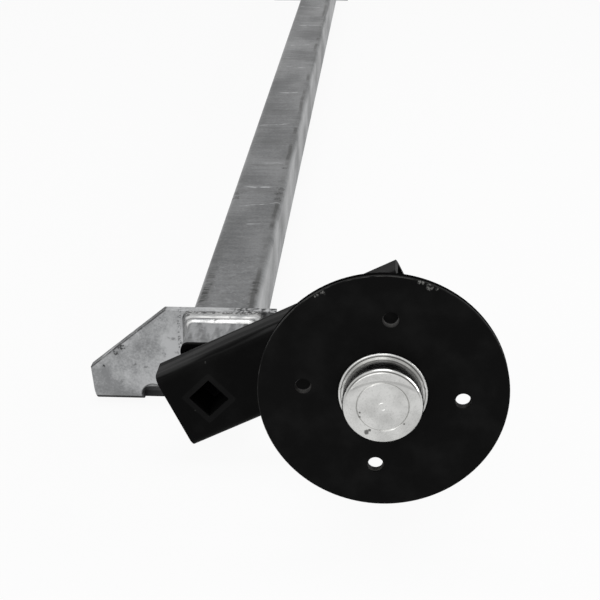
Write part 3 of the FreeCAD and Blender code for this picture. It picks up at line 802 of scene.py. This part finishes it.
@dataclass(frozen=True)
class PressedCap(BrightZincPlate):
    """The plate on the grease cap, with tool marks from the press and handling marks on its face."""

    name: str = "zinc_plated_pressing"
    hub_x: float = 0.154
    hub_z: float = 0.111
    lip_radius: float = 0.0262
    drum_radius: float = 0.025
    shoulder: float = 0.0032
    root: float = 0.0158
    face: float = 1.139
    smudges: tuple[tuple[float, float, float], ...] = (
        (-0.0139, -0.0039, 0.0006), (-0.0139, -0.0069, 0.0006), (0.0133, -0.011, 0.0006),
        (-0.0096, -0.0171, 0.0016), (-0.0078, -0.0158, 0.0009))

    def from_centre(self, pattern: Pattern, x: float, z: float) -> bpy.types.NodeSocket:
        """Return the distance in the cap's plane from a point given from its centre."""
        across = pattern.minus(pattern.axis("X"), self.hub_x + x)
        up = pattern.minus(pattern.axis("Z"), self.hub_z + z)
        squares = pattern.plus(pattern.times(across, across), pattern.times(up, up))
        return pattern.math("SQRT", squares)

    def line(self, pattern: Pattern, radius: bpy.types.NodeSocket, place: float,
             width: float) -> bpy.types.NodeSocket:
        """Return a soft line at one radius."""
        away = pattern.gap(radius, place)
        return pattern.band(away, width, width * 0.3)

    def marks(self, pattern: Pattern) -> bpy.types.NodeSocket:
        """Return pits, handling marks, the dark line under the rolled lip, a painted shade line on the
        shoulder's upper half, the darker drum wall and the crease.
        """
        mask = super().marks(pattern)
        radius = self.from_centre(pattern, 0.0, 0.0)
        lip = pattern.times(self.line(pattern, radius, self.lip_radius, 0.00045), 0.85)
        mask = pattern.most(mask, lip)
        # Painted shade: a dark line along the shoulder's inner edge, on its upper half only.
        high = pattern.band(pattern.axis("Z"), self.hub_z + 0.002, self.hub_z + 0.016)
        edge = self.line(pattern, radius, self.drum_radius - self.shoulder * 0.45, 0.0006)
        mask = pattern.most(mask, pattern.times(edge, pattern.times(high, 0.85)))
        depth = pattern.minus(self.face, pattern.along())
        wall = pattern.band(pattern.gap(radius, self.drum_radius), 0.0003, 0.0001)
        wall = pattern.times(wall, pattern.band(depth, self.shoulder, self.shoulder + 0.002))
        wall = pattern.times(wall, pattern.band(depth, self.root, self.root - 0.0012))
        mask = pattern.most(mask, pattern.times(wall, 0.76))
        crease = self.line(pattern, self.from_centre(pattern, 0.0005, -0.018), 0.0352, 0.0014)
        above = pattern.band(pattern.axis("Z"), self.hub_z + 0.008, self.hub_z + 0.013, 0.0, 0.28)
        mask = pattern.most(mask, pattern.times(crease, above))
        for x, z, size in self.smudges:
            away = self.from_centre(pattern, x, z)
            rough = pattern.times(pattern.noise(1.4, 3.0), size * 1.2)
            spot = pattern.band(pattern.plus(away, rough), size * 1.9, size * 1.3, 0.0, 0.85)
            mask = pattern.most(mask, spot)
        return mask

    def relief(self, pattern: Pattern) -> bpy.types.NodeSocket:
        """Return the normal with the centre mark, a faint crease and the dents."""
        normal = super().relief(pattern)
        radius = self.from_centre(pattern, 0.0, 0.0)
        centre = self.line(pattern, radius, 0.0024, 0.0007)
        normal = pattern.bump(centre, 0.3, 0.6, normal)
        crease = self.line(pattern, self.from_centre(pattern, 0.0005, -0.018), 0.0352, 0.0012)
        return pattern.bump(crease, 0.25, 0.55, normal)


@dataclass(frozen=True)
class GroundSteel:
    """Turned and ground steel under a film of grease: fine rings and a tight sheen."""

    name: str = "ground_steel"
    light: str = "a8a6a2"
    dark: str = "6e6c69"
    roughness: float = 0.28
    ring_mm: float = 0.9
    film_mm: float = 15.0

    def build(self) -> bpy.types.Material:
        """Return the finished material."""
        material, pattern, shader = start_material(self.name)
        rings = pattern.noise(self.ring_mm, 2.0, (0.08, 1.0, 0.08))
        film = pattern.noise(self.film_mm, 4.0)
        colour = pattern.mix(pattern.band(film, 0.35, 0.7), linear(self.light), linear(self.dark))
        connect(pattern, shader, {
            "Base Color": colour, "Metallic": 1.0,
            "Roughness": pattern.band(film, 0.3, 0.7, self.roughness, self.roughness + 0.12),
            "Normal": pattern.bump(rings, 0.02, 0.4)})
        return material


@dataclass(frozen=True)
class MouldedRubber:
    """Black rubber from a mould: matt, with a slight grey bloom."""

    name: str = "moulded_rubber"
    base: str = "141414"
    bloom: str = "2a2a29"
    roughness: float = 0.78
    bloom_mm: float = 12.0
    grain_mm: float = 1.0

    def build(self) -> bpy.types.Material:
        """Return the finished material."""
        material, pattern, shader = start_material(self.name)
        cloud = pattern.noise(self.bloom_mm, 5.0)
        colour = pattern.mix(pattern.band(cloud, 0.4, 0.75), linear(self.base), linear(self.bloom))
        connect(pattern, shader, {"Base Color": colour, "Roughness": self.roughness, "IOR": 1.52,
                                  "Normal": pattern.bump(pattern.noise(self.grain_mm, 3.0), 0.04, 0.4)})
        return material


class Finish(Enum):
    """The finishes that the axle's pieces share, with a material slot name for each."""

    TUBE = "galvanised_steel"
    PLATE = "galvanised_steel_plate"
    WELD = "galvanised_steel_weld"
    ARM = "black_paint"
    HUB = "black_paint_hub"
    STUB = "bare_steel"
    BAR = "bare_steel_bar"
    THREAD = "bare_steel_thread"
    PLATED = "zinc_plate"
    CAP = "zinc_plate_cap"
    BEARING = "bearing_steel"
    CORD = "cord_rubber"
    SEAL = "seal_rubber"

    @property
    def slot(self) -> str:
        """Return the material slot's name."""
        for end in ("_plate", "_weld", "_hub", "_bar", "_thread", "_cap"):
            if self.value.endswith(end) and self.value != "zinc_plate":
                return self.value.removesuffix(end)
        return self.value


@dataclass
class PaintShop:
    """Makes each finish once, with the marks at the places that the frame gives."""

    materials: dict[Finish, bpy.types.Material] = field(default_factory=dict)

    def __post_init__(self) -> None:
        """Build every finish."""
        tube_low, tube_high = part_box("axle_tube")
        hub_low, hub_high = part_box("wheel_hub_right")
        arm_low, arm_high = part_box("swing_arm_right")
        plate_low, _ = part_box("bracket_right")
        cap_low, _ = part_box("grease_cap_right")
        rise, cut_place = self.cut_edge()
        hub_x = (hub_low.x + hub_high.x) / 2
        hub_z = (hub_low.z + hub_high.z) / 2
        face = hub_low.y
        front = arm_low.y
        plate = plate_low.y
        self.materials = {
            Finish.TUBE: GalvanisedTube(
                centre=(tube_low.x + tube_high.x) / 2, half_width=(tube_high.x - tube_low.x) / 2,
                top=tube_high.z, spots=(
                    (0.0518, -0.600, tube_high.z, 7.0), (0.0512, -0.616, tube_high.z, 8.5),
                    (0.0508, -0.633, tube_high.z, 7.0), (0.0095, -0.617, tube_high.z, 8.0),
                    (0.0092, -0.630, tube_high.z, 7.5), (0.0500, -0.5300, tube_high.z, 6.0))).build(),
            Finish.PLATE: BracketZinc(rise=rise, cut_place=cut_place, inner=-plate - 0.008, spots=(
                (-0.0546, plate, 0.0440, 4.2), (-0.0490, plate, 0.0490, 5.0),
                (-0.0640, plate, 0.0325, 1.8), (0.0453, plate, 0.0785, 2.2),
                (0.0520, plate, 0.0770, 2.4), (0.0606, plate, 0.0762, 2.6),
                (0.0660, plate, 0.0740, 4.0))).build(),
            Finish.WELD: WeldZinc(plate=-plate, top=tube_high.z, fleck_share=0.6, spots=(
                (0.0012, plate - 0.002, 0.0735, 3.6), (0.0012, plate - 0.009, 0.0745, 4.2),
                (0.0045, plate - 0.006, 0.0790, 3.4),
                (0.0450, plate - 0.003, 0.080, 2.2))).build(),
            Finish.ARM: ArmEnamel(front=-front, chips=(
                (0.0289, front, 0.0811, 1.1), (0.0272, front, 0.0822, 0.8), (0.0214, front, 0.0449, 1.9),
                (0.0270, front, 0.0412, 1.2), (0.0327, front, 0.0389, 1.9))).build(),
            Finish.HUB: HubEnamel(
                hub_x=hub_x, hub_z=hub_z, disc_radius=(hub_high.x - hub_low.x) / 2, face=-face, chips=(
                    (hub_x - 0.0422, face, hub_z + 0.0643, 0.9),
                    (hub_x - 0.0406, face, hub_z + 0.0652, 1.3),
                    (hub_x - 0.0388, face, hub_z + 0.0665, 0.9),
                    (hub_x - 0.0372, face, hub_z + 0.0672, 1.4),
                    (hub_x - 0.0364, face, hub_z + 0.0660, 0.8),
                    (hub_x + 0.0205, face, hub_z + 0.0748, 1.4),
                    (hub_x + 0.0228, face, hub_z + 0.0744, 1.4),
                    (hub_x + 0.0312, face, hub_z + 0.0706, 1.3),
                    (hub_x + 0.0268, face, hub_z + 0.0716, 2.8))).build(),
            Finish.STUB: HalfPainted(name="part_painted_stub", start=-hub_high.y,
                                     painted_outside=False).build(),
            Finish.BAR: HalfPainted(name="part_painted_bar", start=-arm_high.y).build(),
            Finish.THREAD: GroundSteel(name="tapped_thread_steel", light="525150", dark="2a2928",
                                       roughness=0.5).build(),
            Finish.PLATED: BrightZincPlate().build(),
            Finish.CAP: PressedCap(hub_x=hub_x, hub_z=hub_z, face=-cap_low.y).build(),
            Finish.BEARING: GroundSteel().build(),
            Finish.CORD: MouldedRubber().build(),
            Finish.SEAL: MouldedRubber(name="nitrile_seal_rubber", base="101010").build()}

    def cut_edge(self) -> tuple[tuple[float, float], float]:
        """Find the bracket's sloping edge in the frame.

        Returns:
            The edge's direction as x and z, and its distance from the origin.
        """
        low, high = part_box("bracket_right")
        points = [vertex.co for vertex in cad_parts["bracket_right"].data.vertices]
        heel = max((point for point in points if point.x < low.x + MM), key=lambda point: point.z)
        toe = min((point for point in points if point.z > high.z - MM), key=lambda point: point.x)
        length = math.dist((heel.x, heel.z), (toe.x, toe.z))
        rise = ((toe.x - heel.x) / length, (toe.z - heel.z) / length)
        return rise, heel.z * rise[0] - heel.x * rise[1]

    def dress(self, node: str, finish: Finish) -> None:
        """Give a CAD node its finish.

        Args:
            node: The CAD node's name.
            finish: The finish.
        """
        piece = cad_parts[node]
        piece.data.materials.clear()
        piece.data.materials.append(self.materials[finish])
        log.info("%s: %s", node, self.materials[finish].name)

    def piece(self, name: str, side: Side, points: list[Vector], faces: list[tuple[int, ...]],
              finish: Finish, body: str) -> bpy.types.Object:
        """Make a new piece from right-hand points and seat it on a body.

        Args:
            name: The piece's plain name, without its side.
            side: The end of the axle.
            points: Its points, as on the right-hand end, in metres.
            faces: Its faces, wound for the right-hand end.
            finish: Its finish.
            body: The CAD body that carries it.

        Returns:
            The new object.
        """
        full_name = f"{name}_{side.label}"
        mesh = bpy.data.meshes.new(full_name)
        placed = [side.place(point.x, point.y, point.z) for point in points]
        if side is Side.LEFT:
            faces = [tuple(reversed(loop)) for loop in faces]
        mesh.from_pydata(placed, [], faces)
        mesh.shade_smooth()
        mesh.materials.append(self.materials[finish])
        piece = bpy.data.objects.new(full_name, mesh)
        bpy.context.scene.collection.objects.link(piece)
        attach(piece, body)
        log.info("%s: %s on %s", full_name, self.materials[finish].name, body)
        return piece


@dataclass(frozen=True)
class Station:
    """A place on a closed path round a section: its point, its outward direction and its distance."""

    x: float
    z: float
    out_x: float
    out_z: float
    along: float


def rounded_square_path(centre: tuple[float, float], half: float, radius: float, turn_deg: float,
                        spacing: float) -> list[Station]:
    """Walk round a rounded square section.

    Args:
        centre: The section's middle, as x and z.
        half: Half of its side.
        radius: Its corner radius.
        turn_deg: How far it is turned about Y.
        spacing: The step between stations.

    Returns:
        The stations, anticlockwise seen from +Y.
    """
    flat = 2 * (half - radius)
    stations = []
    walked = 0.0
    turn = math.radians(turn_deg)
    for quarter in range(4):
        base = quarter * math.pi / 2
        flat_steps = max(int(flat / spacing), 1)
        for step in range(flat_steps):
            offset = -flat / 2 + flat * step / flat_steps
            stations.append((half, offset, 0.0, base, walked + flat * step / flat_steps))
        walked += flat
        arc_steps = max(int(radius * math.pi / 2 / spacing), 3)
        for step in range(arc_steps):
            angle = math.pi / 2 * step / arc_steps
            stations.append((half - radius + radius * math.cos(angle),
                             half - radius + radius * math.sin(angle), angle, base,
                             walked + radius * angle))
        walked += radius * math.pi / 2
    placed = []
    for x, z, angle, base, along in stations:
        full = base + turn
        cos, sin = math.cos(full), math.sin(full)
        placed.append(Station(centre[0] + x * cos - z * sin, centre[1] + x * sin + z * cos,
                              math.cos(full + angle), math.sin(full + angle), along))
    return placed


def round_path(centre: tuple[float, float], radius: float, spacing: float) -> list[Station]:
    """Walk round a circle.

    Args:
        centre: The circle's middle, as x and z.
        radius: Its radius.
        spacing: The step between stations.

    Returns:
        The stations, anticlockwise seen from +Y.
    """
    count = int(2 * math.pi * radius / spacing)
    stations = []
    for step in range(count):
        angle = 2 * math.pi * step / count
        stations.append(Station(centre[0] + radius * math.cos(angle), centre[1] + radius * math.sin(angle),
                                math.cos(angle), math.sin(angle), radius * angle))
    return stations


@dataclass
class WeldBead:
    """A fillet weld with the crescent ripples of a hand-run bead."""

    shop: PaintShop
    ripple_mm: float = 2.4
    ripple_depth: float = 0.09
    scallop: float = 0.04
    rows: int = 9
    second_pass: float = 0.0

    def height(self, share: float, station: Station, reach: float, top_reach: float) -> float:
        """Return how far the bead stands off the section.

        Args:
            share: The place across the bead, 0 at the plate and 1 at its toe.
            station: The place along the bead.
            reach: Its leg on the plate.
            top_reach: Its leg where the section's top comes near the plate's edge.

        Returns:
            The height, in metres.
        """
        level = max(station.out_z, 0.0) ** 3
        leg = reach * (1 - level) + top_reach * level
        fillet = leg * (1 - share) ** 0.7
        crest = math.exp(-((share - 0.74) / 0.13) ** 2) - 0.5 * math.exp(-((share - 0.5) / 0.1) ** 2)
        return max(fillet + self.second_pass * level * crest, 0.0)

    def build(self, name: str, side: Side, path: list[Station], start: float, length: float,
              reach: float, top_reach: float, finish: Finish, body: str,
              replaced: str) -> bpy.types.Object:
        """Run the bead round a section.

        Args:
            name: The piece's name.
            side: The end of the axle.
            path: The section's outline.
            start: The plate's face, in Y.
            length: The leg along the section, less than 0 towards the hub.
            reach: The leg on the plate.
            top_reach: The leg on the plate above the section.
            finish: Its finish.
            body: The body that carries it.
            replaced: The CAD node that it stands for.

        Returns:
            The bead.
        """
        points = []
        total = path[-1].along + math.dist((path[-1].x, path[-1].z), (path[0].x, path[0].z))
        waves = round(total / (self.ripple_mm * MM))
        for station in path:
            for row in range(self.rows):
                share = row / (self.rows - 1)
                bow = 1.6 * (share - 0.5) ** 2
                phase = 2 * math.pi * (waves * station.along / total + bow)
                fade = math.sin(math.pi * min(share + 0.1, 1))
                swell = 1 - self.ripple_depth * (1 + math.sin(phase)) * fade
                off = self.height(share, station, reach, top_reach) * swell - 0.00005
                points.append(Vector((station.x + station.out_x * off, start + length * share * (
                    1 - self.scallop * math.sin(phase)), station.z + station.out_z * off)))
        faces = []
        count = len(path)
        for index in range(count):
            following = (index + 1) % count
            for row in range(self.rows - 1):
                loop = (index * self.rows + row, following * self.rows + row,
                        following * self.rows + row + 1, index * self.rows + row + 1)
                faces.append(loop if length > 0 else tuple(reversed(loop)))
        bead = self.shop.piece(name, side, points, faces, finish, body)
        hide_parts(f"{replaced}_{side.label}")
        return bead


@dataclass
class ChassisBeam:
    """The axle tube with its two brackets and their welds."""

    shop: PaintShop
    corner_radius: float = 0.005
    weld_reach: float = 0.0068
    weld_length: float = 0.0185
    weld_step: float = 0.0006
    second_pass: float = 0.0012

    def build(self) -> None:
        """Dress the tube and both brackets, and run the welds."""
        self.shop.dress("axle_tube", Finish.TUBE)
        for side in Side:
            self.shop.dress(f"bracket_{side.label}", Finish.PLATE)
            self.weld(side)

    def weld(self, side: Side) -> None:
        """Run the weld round the tube on the plate's outer face.

        Args:
            side: The end of the axle.
        """
        low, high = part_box("axle_tube")
        plate_low, plate_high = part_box("bracket_right")
        centre = ((low.x + high.x) / 2, (low.z + high.z) / 2)
        half = (high.x - low.x) / 2
        path = rounded_square_path(centre, half, self.corner_radius, 0.0, self.weld_step)
        bead = WeldBead(self.shop, ripple_depth=0.02, scallop=0.008, rows=21,
                        second_pass=self.second_pass)
        bead.build("bracket_weld_bead", side, path, plate_low.y, -self.weld_length, self.weld_reach,
                   plate_high.z - high.z - 0.0001, Finish.WELD, "chassis", "bracket_weld")


@dataclass
class SwingArm:
    """A trailing arm with its inner bar, its stub axle and the welds between them."""

    shop: PaintShop
    bar_corner: float = 0.002
    bar_reach: float = 0.0038
    weld_step: float = 0.0006

    def build(self, side: Side) -> None:
        """Dress the arm, bar and stub, and run their welds.

        Args:
            side: The end of the axle.
        """
        end = side.label
        self.shop.dress(f"swing_arm_{end}", Finish.ARM)
        self.shop.dress(f"torsion_bar_{end}", Finish.BAR)
        self.shop.dress(f"stub_axle_{end}", Finish.STUB)
        bar_low, bar_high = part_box("torsion_bar_right")
        _, arm_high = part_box("swing_arm_right")
        weld_low, weld_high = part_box("bar_weld_right")
        centre = ((bar_low.x + bar_high.x) / 2, (bar_low.z + bar_high.z) / 2)
        half = ((bar_high.x - bar_low.x) / 2 + self.bar_corner * (math.sqrt(2) - 1)) / math.sqrt(2)
        path = rounded_square_path(centre, half, self.bar_corner, 45.0, self.weld_step)
        WeldBead(self.shop).build("bar_weld_bead", side, path, arm_high.y, weld_high.y - weld_low.y,
                                  self.bar_reach, self.bar_reach, Finish.ARM, f"arm_{end}", "bar_weld")
        ring_low, ring_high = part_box("stub_weld_right")
        _, stub_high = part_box("stub_axle_right")
        middle = ((ring_low.x + ring_high.x) / 2, (ring_low.z + ring_high.z) / 2)
        shank = 0.016
        reach = (ring_high.x - ring_low.x) / 2 - shank
        path = round_path(middle, shank, self.weld_step)
        WeldBead(self.shop).build("stub_weld_bead", side, path, ring_low.y, stub_high.y - ring_low.y,
                                  reach, reach, Finish.ARM, f"arm_{end}", "stub_weld")


@dataclass
class TorsionCords:
    """Four rubber cords, each squeezed between two walls of the tube and a flat of the bar."""

    shop: PaintShop
    flats_deg: tuple[float, float, float] = (0.0, 90.0, 225.0)
    squeeze: float = 0.13
    swell: float = 0.02
    around: int = 40
    lengthwise: int = 14

    def radius_share(self, angle_deg: float) -> float:
        """Return the radius at an angle as a share of the free cord's."""
        share = 1 + self.swell
        for flat in self.flats_deg:
            away = (angle_deg - flat + 180) % 360 - 180
            share -= (self.squeeze * 0.5 + self.swell) * math.exp(-(away / 34) ** 2)
        return share

    def build(self, side: Side) -> None:
        """Make the four cords of one end.

        Args:
            side: The end of the axle.
        """
        tube_low, tube_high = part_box("axle_tube")
        middle = Vector(((tube_low.x + tube_high.x) / 2, 0.0, (tube_low.z + tube_high.z) / 2))
        for number in range(1, 5):
            low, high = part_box(f"rubber_cord_{number}_right")
            centre = (low + high) / 2
            radius = (high.x - low.x) / 2
            corner = math.atan2(centre.z - middle.z, centre.x - middle.x)
            spin = corner - math.radians(45)
            points = []
            for step in range(self.lengthwise + 1):
                share = step / self.lengthwise
                y = low.y + (high.y - low.y) * share
                ends = min(share, 1 - share) * self.lengthwise
                taper = 0.82 if ends < 0.5 else 1.0
                for index in range(self.around):
                    angle = 360 * index / self.around
                    reach = radius * self.radius_share(angle) * taper
                    direction = math.radians(angle) + spin
                    points.append(Vector((centre.x + reach * math.cos(direction), y,
                                          centre.z + reach * math.sin(direction))))
            faces = [tuple(range(self.around))]
            for step in range(self.lengthwise):
                for index in range(self.around):
                    following = (index + 1) % self.around
                    first = step * self.around
                    second = first + self.around
                    faces.append((first + following, first + index, second + index, second + following))
            last = self.lengthwise * self.around
            faces.append(tuple(reversed(range(last, last + self.around))))
            cord = self.shop.piece(f"squeezed_cord_{number}", side, points, faces, Finish.CORD, "chassis")
            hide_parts(f"rubber_cord_{number}_{side.label}")


@dataclass
class WheelHub:
    """A hub with its bearings, seal, fasteners, stud threads and grease cap."""

    shop: PaintShop
    hole_circle: float = 0.05
    thread_radius: float = 0.0052
    thread_depth: float = 0.0005
    thread_pitch: float = 0.0015
    thread_steps: int = 28
    disc_thickness: float = 0.0065
    first_hole_deg: float = -4.5

    def build(self, side: Side) -> None:
        """Dress one hub's pieces and cut the threads of its stud holes.

        Args:
            side: The end of the axle.
        """
        end = side.label
        self.shop.dress(f"wheel_hub_{end}", Finish.HUB)
        self.shop.dress(f"grease_cap_{end}", Finish.CAP)
        self.shop.dress(f"grease_seal_{end}", Finish.SEAL)
        for bearing in ("outer", "inner"):
            for piece in ("cup", "cone", "rollers", "cage"):
                self.shop.dress(f"{bearing}_bearing_{piece}_{end}", Finish.BEARING)
        for piece in ("thrust_washer", "castle_nut", "split_pin"):
            self.shop.dress(f"{piece}_{end}", Finish.PLATED)
        for number in range(4):
            self.thread(side, number)

    def thread(self, side: Side, number: int) -> None:
        """Make the ridge of one stud hole's thread.

        Args:
            side: The end of the axle.
            number: The hole's number, from 0.
        """
        low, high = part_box("wheel_hub_right")
        angle = math.radians(self.first_hole_deg + 90 * number)
        x = (low.x + high.x) / 2 + self.hole_circle * math.cos(angle)
        z = (low.z + high.z) / 2 + self.hole_circle * math.sin(angle)
        start = low.y + self.thread_pitch * 0.5
        turns = (self.disc_thickness - self.thread_pitch) / self.thread_pitch
        count = int(turns * self.thread_steps)
        points = []
        for step in range(count + 1):
            turn = 2 * math.pi * step / self.thread_steps
            fade = min(step, count - step, self.thread_steps / 3) / (self.thread_steps / 3)
            y = start + self.thread_pitch * step / self.thread_steps
            root = self.thread_radius + 0.00005
            crest = self.thread_radius - self.thread_depth * fade
            for radius, offset in ((root, -0.45), (crest, -0.06), (crest, 0.06), (root, 0.45)):
                points.append(Vector((x + radius * math.cos(turn), y + offset * self.thread_pitch,
                                      z + radius * math.sin(turn))))
        faces = []
        for step in range(count):
            for row in range(3):
                first = step * 4 + row
                faces.append((first, first + 1, first + 5, first + 4))
        self.shop.piece(f"stud_thread_{number + 1}", side, points, faces, Finish.THREAD,
                        f"hub_{side.label}")


@dataclass
class Studio:
    """Pale floor, soft lamps, a grey room and the camera."""

    floor_size: float = 24.0
    floor_colour: str = "f2f2f2"
    floor_glow: float = 0.93
    room_colour: str = "8c8c8c"
    camera_place: tuple[float, float, float] = (0.15415, -1.91881, 0.49652)
    camera_turn_deg: tuple[float, float, float] = (67.980, 0.265, 3.575)
    lens_mm: float = 85.326
    sensor_mm: float = 36.0

    def build(self) -> None:
        """Make the camera, floor, lamps and room."""
        self.camera()
        self.floor()
        self.lamp("overhead_lamp", (0.1, -0.9, 2.6), 1.6, 20.0)
        self.lamp("right_lamp", (2.6, -0.9, 1.1), 1.4, 26.0)
        self.lamp("front_lamp", (-0.8, -3.6, 1.5), 2.4, 26.0)
        self.room()
        bpy.context.scene.view_settings.view_transform = "Standard"

    def camera(self) -> None:
        """Stand the camera where the photograph was taken from."""
        data = bpy.data.cameras.new("camera")
        data.lens = self.lens_mm
        data.sensor_width = self.sensor_mm
        data.clip_end = 100.0
        camera = bpy.data.objects.new("camera", data)
        camera.location = self.camera_place
        camera.rotation_euler = Euler([math.radians(v) for v in self.camera_turn_deg], "XYZ")
        bpy.context.scene.collection.objects.link(camera)
        bpy.context.scene.camera = camera

    def floor(self) -> None:
        """Lay the pale floor under the mounting faces."""
        half = self.floor_size / 2
        corners = [(-half, -half, 0.0), (half, -half, 0.0), (half, half, 0.0), (-half, half, 0.0)]
        mesh = bpy.data.meshes.new("studio_floor")
        mesh.from_pydata(corners, [], [(0, 1, 2, 3)])
        mesh.materials.append(self.floor_material())
        floor = bpy.data.objects.new("studio_floor", mesh)
        bpy.context.scene.collection.objects.link(floor)

    def background_ray(self, tree: bpy.types.NodeTree) -> bpy.types.NodeSocket:
        """Return 1 for the rays that are to see the white background."""
        path = add_node(tree, "ShaderNodeLightPath")
        straight = add_node(tree, "ShaderNodeMath", {"operation": "MAXIMUM"}, {
            0: path.outputs["Is Camera Ray"], 1: path.outputs["Is Transmission Ray"]})
        return add_node(tree, "ShaderNodeMath", {"operation": "MAXIMUM"}, {
            0: straight.outputs[0], 1: path.outputs["Is Glossy Ray"]}).outputs[0]

    def floor_material(self) -> bpy.types.Material:
        """Return a white floor that keeps a light shadow for the camera."""
        material = bpy.data.materials.new("white_studio_floor")
        material.use_nodes = True
        tree = material.node_tree
        tree.nodes.clear()
        paint = add_node(tree, "ShaderNodeBsdfDiffuse", None, {"Color": linear(self.floor_colour)})
        glow = add_node(tree, "ShaderNodeEmission", None, {"Color": (1, 1, 1, 1), "Strength": 1.0})
        amount = add_node(tree, "ShaderNodeMath", {"operation": "MULTIPLY"}, {
            0: self.background_ray(tree), 1: self.floor_glow})
        mixed = add_node(tree, "ShaderNodeMixShader", None, {
            0: amount.outputs[0], 1: paint.outputs[0], 2: glow.outputs[0]})
        add_node(tree, "ShaderNodeOutputMaterial", None, {"Surface": mixed.outputs[0]})
        return material

    def lamp(self, name: str, place: tuple[float, float, float], size: float, watts: float) -> None:
        """Hang one square lamp that looks at the near end of the axle.

        Args:
            name: The lamp's name.
            place: Its centre, in metres.
            size: The length of its side.
            watts: Its power.
        """
        data = bpy.data.lights.new(name, "AREA")
        data.size = size
        data.energy = watts
        lamp = bpy.data.objects.new(name, data)
        lamp.location = place
        aim = Vector((0.1, -0.95, 0.1)) - Vector(place)
        lamp.rotation_euler = aim.to_track_quat("-Z", "Y").to_euler()
        bpy.context.scene.collection.objects.link(lamp)

    def room(self) -> None:
        """Fill the room with even grey light and stand it before a white backdrop."""
        world = bpy.data.worlds.new("room")
        world.use_nodes = True
        tree = world.node_tree
        tree.nodes.clear()
        light = add_node(tree, "ShaderNodeBackground", None, {"Color": linear(self.room_colour),
                                                              "Strength": 1.0})
        white = add_node(tree, "ShaderNodeBackground", None, {"Color": (1, 1, 1, 1), "Strength": 1.0})
        mixed = add_node(tree, "ShaderNodeMixShader", None, {
            0: self.background_ray(tree), 1: light.outputs[0], 2: white.outputs[0]})
        add_node(tree, "ShaderNodeOutputWorld", None, {"Surface": mixed.outputs[0]})
        bpy.context.scene.world = world


def main() -> None:
    """Build every sub-assembly and the studio."""
    logging.basicConfig(level=logging.INFO, format="%(message)s")
    shop = PaintShop()
    ChassisBeam(shop).build()
    for side in Side:
        SwingArm(shop).build(side)
        TorsionCords(shop).build(side)
        WheelHub(shop).build(side)
    Studio().build()


if __name__ == "__main__":
    main()
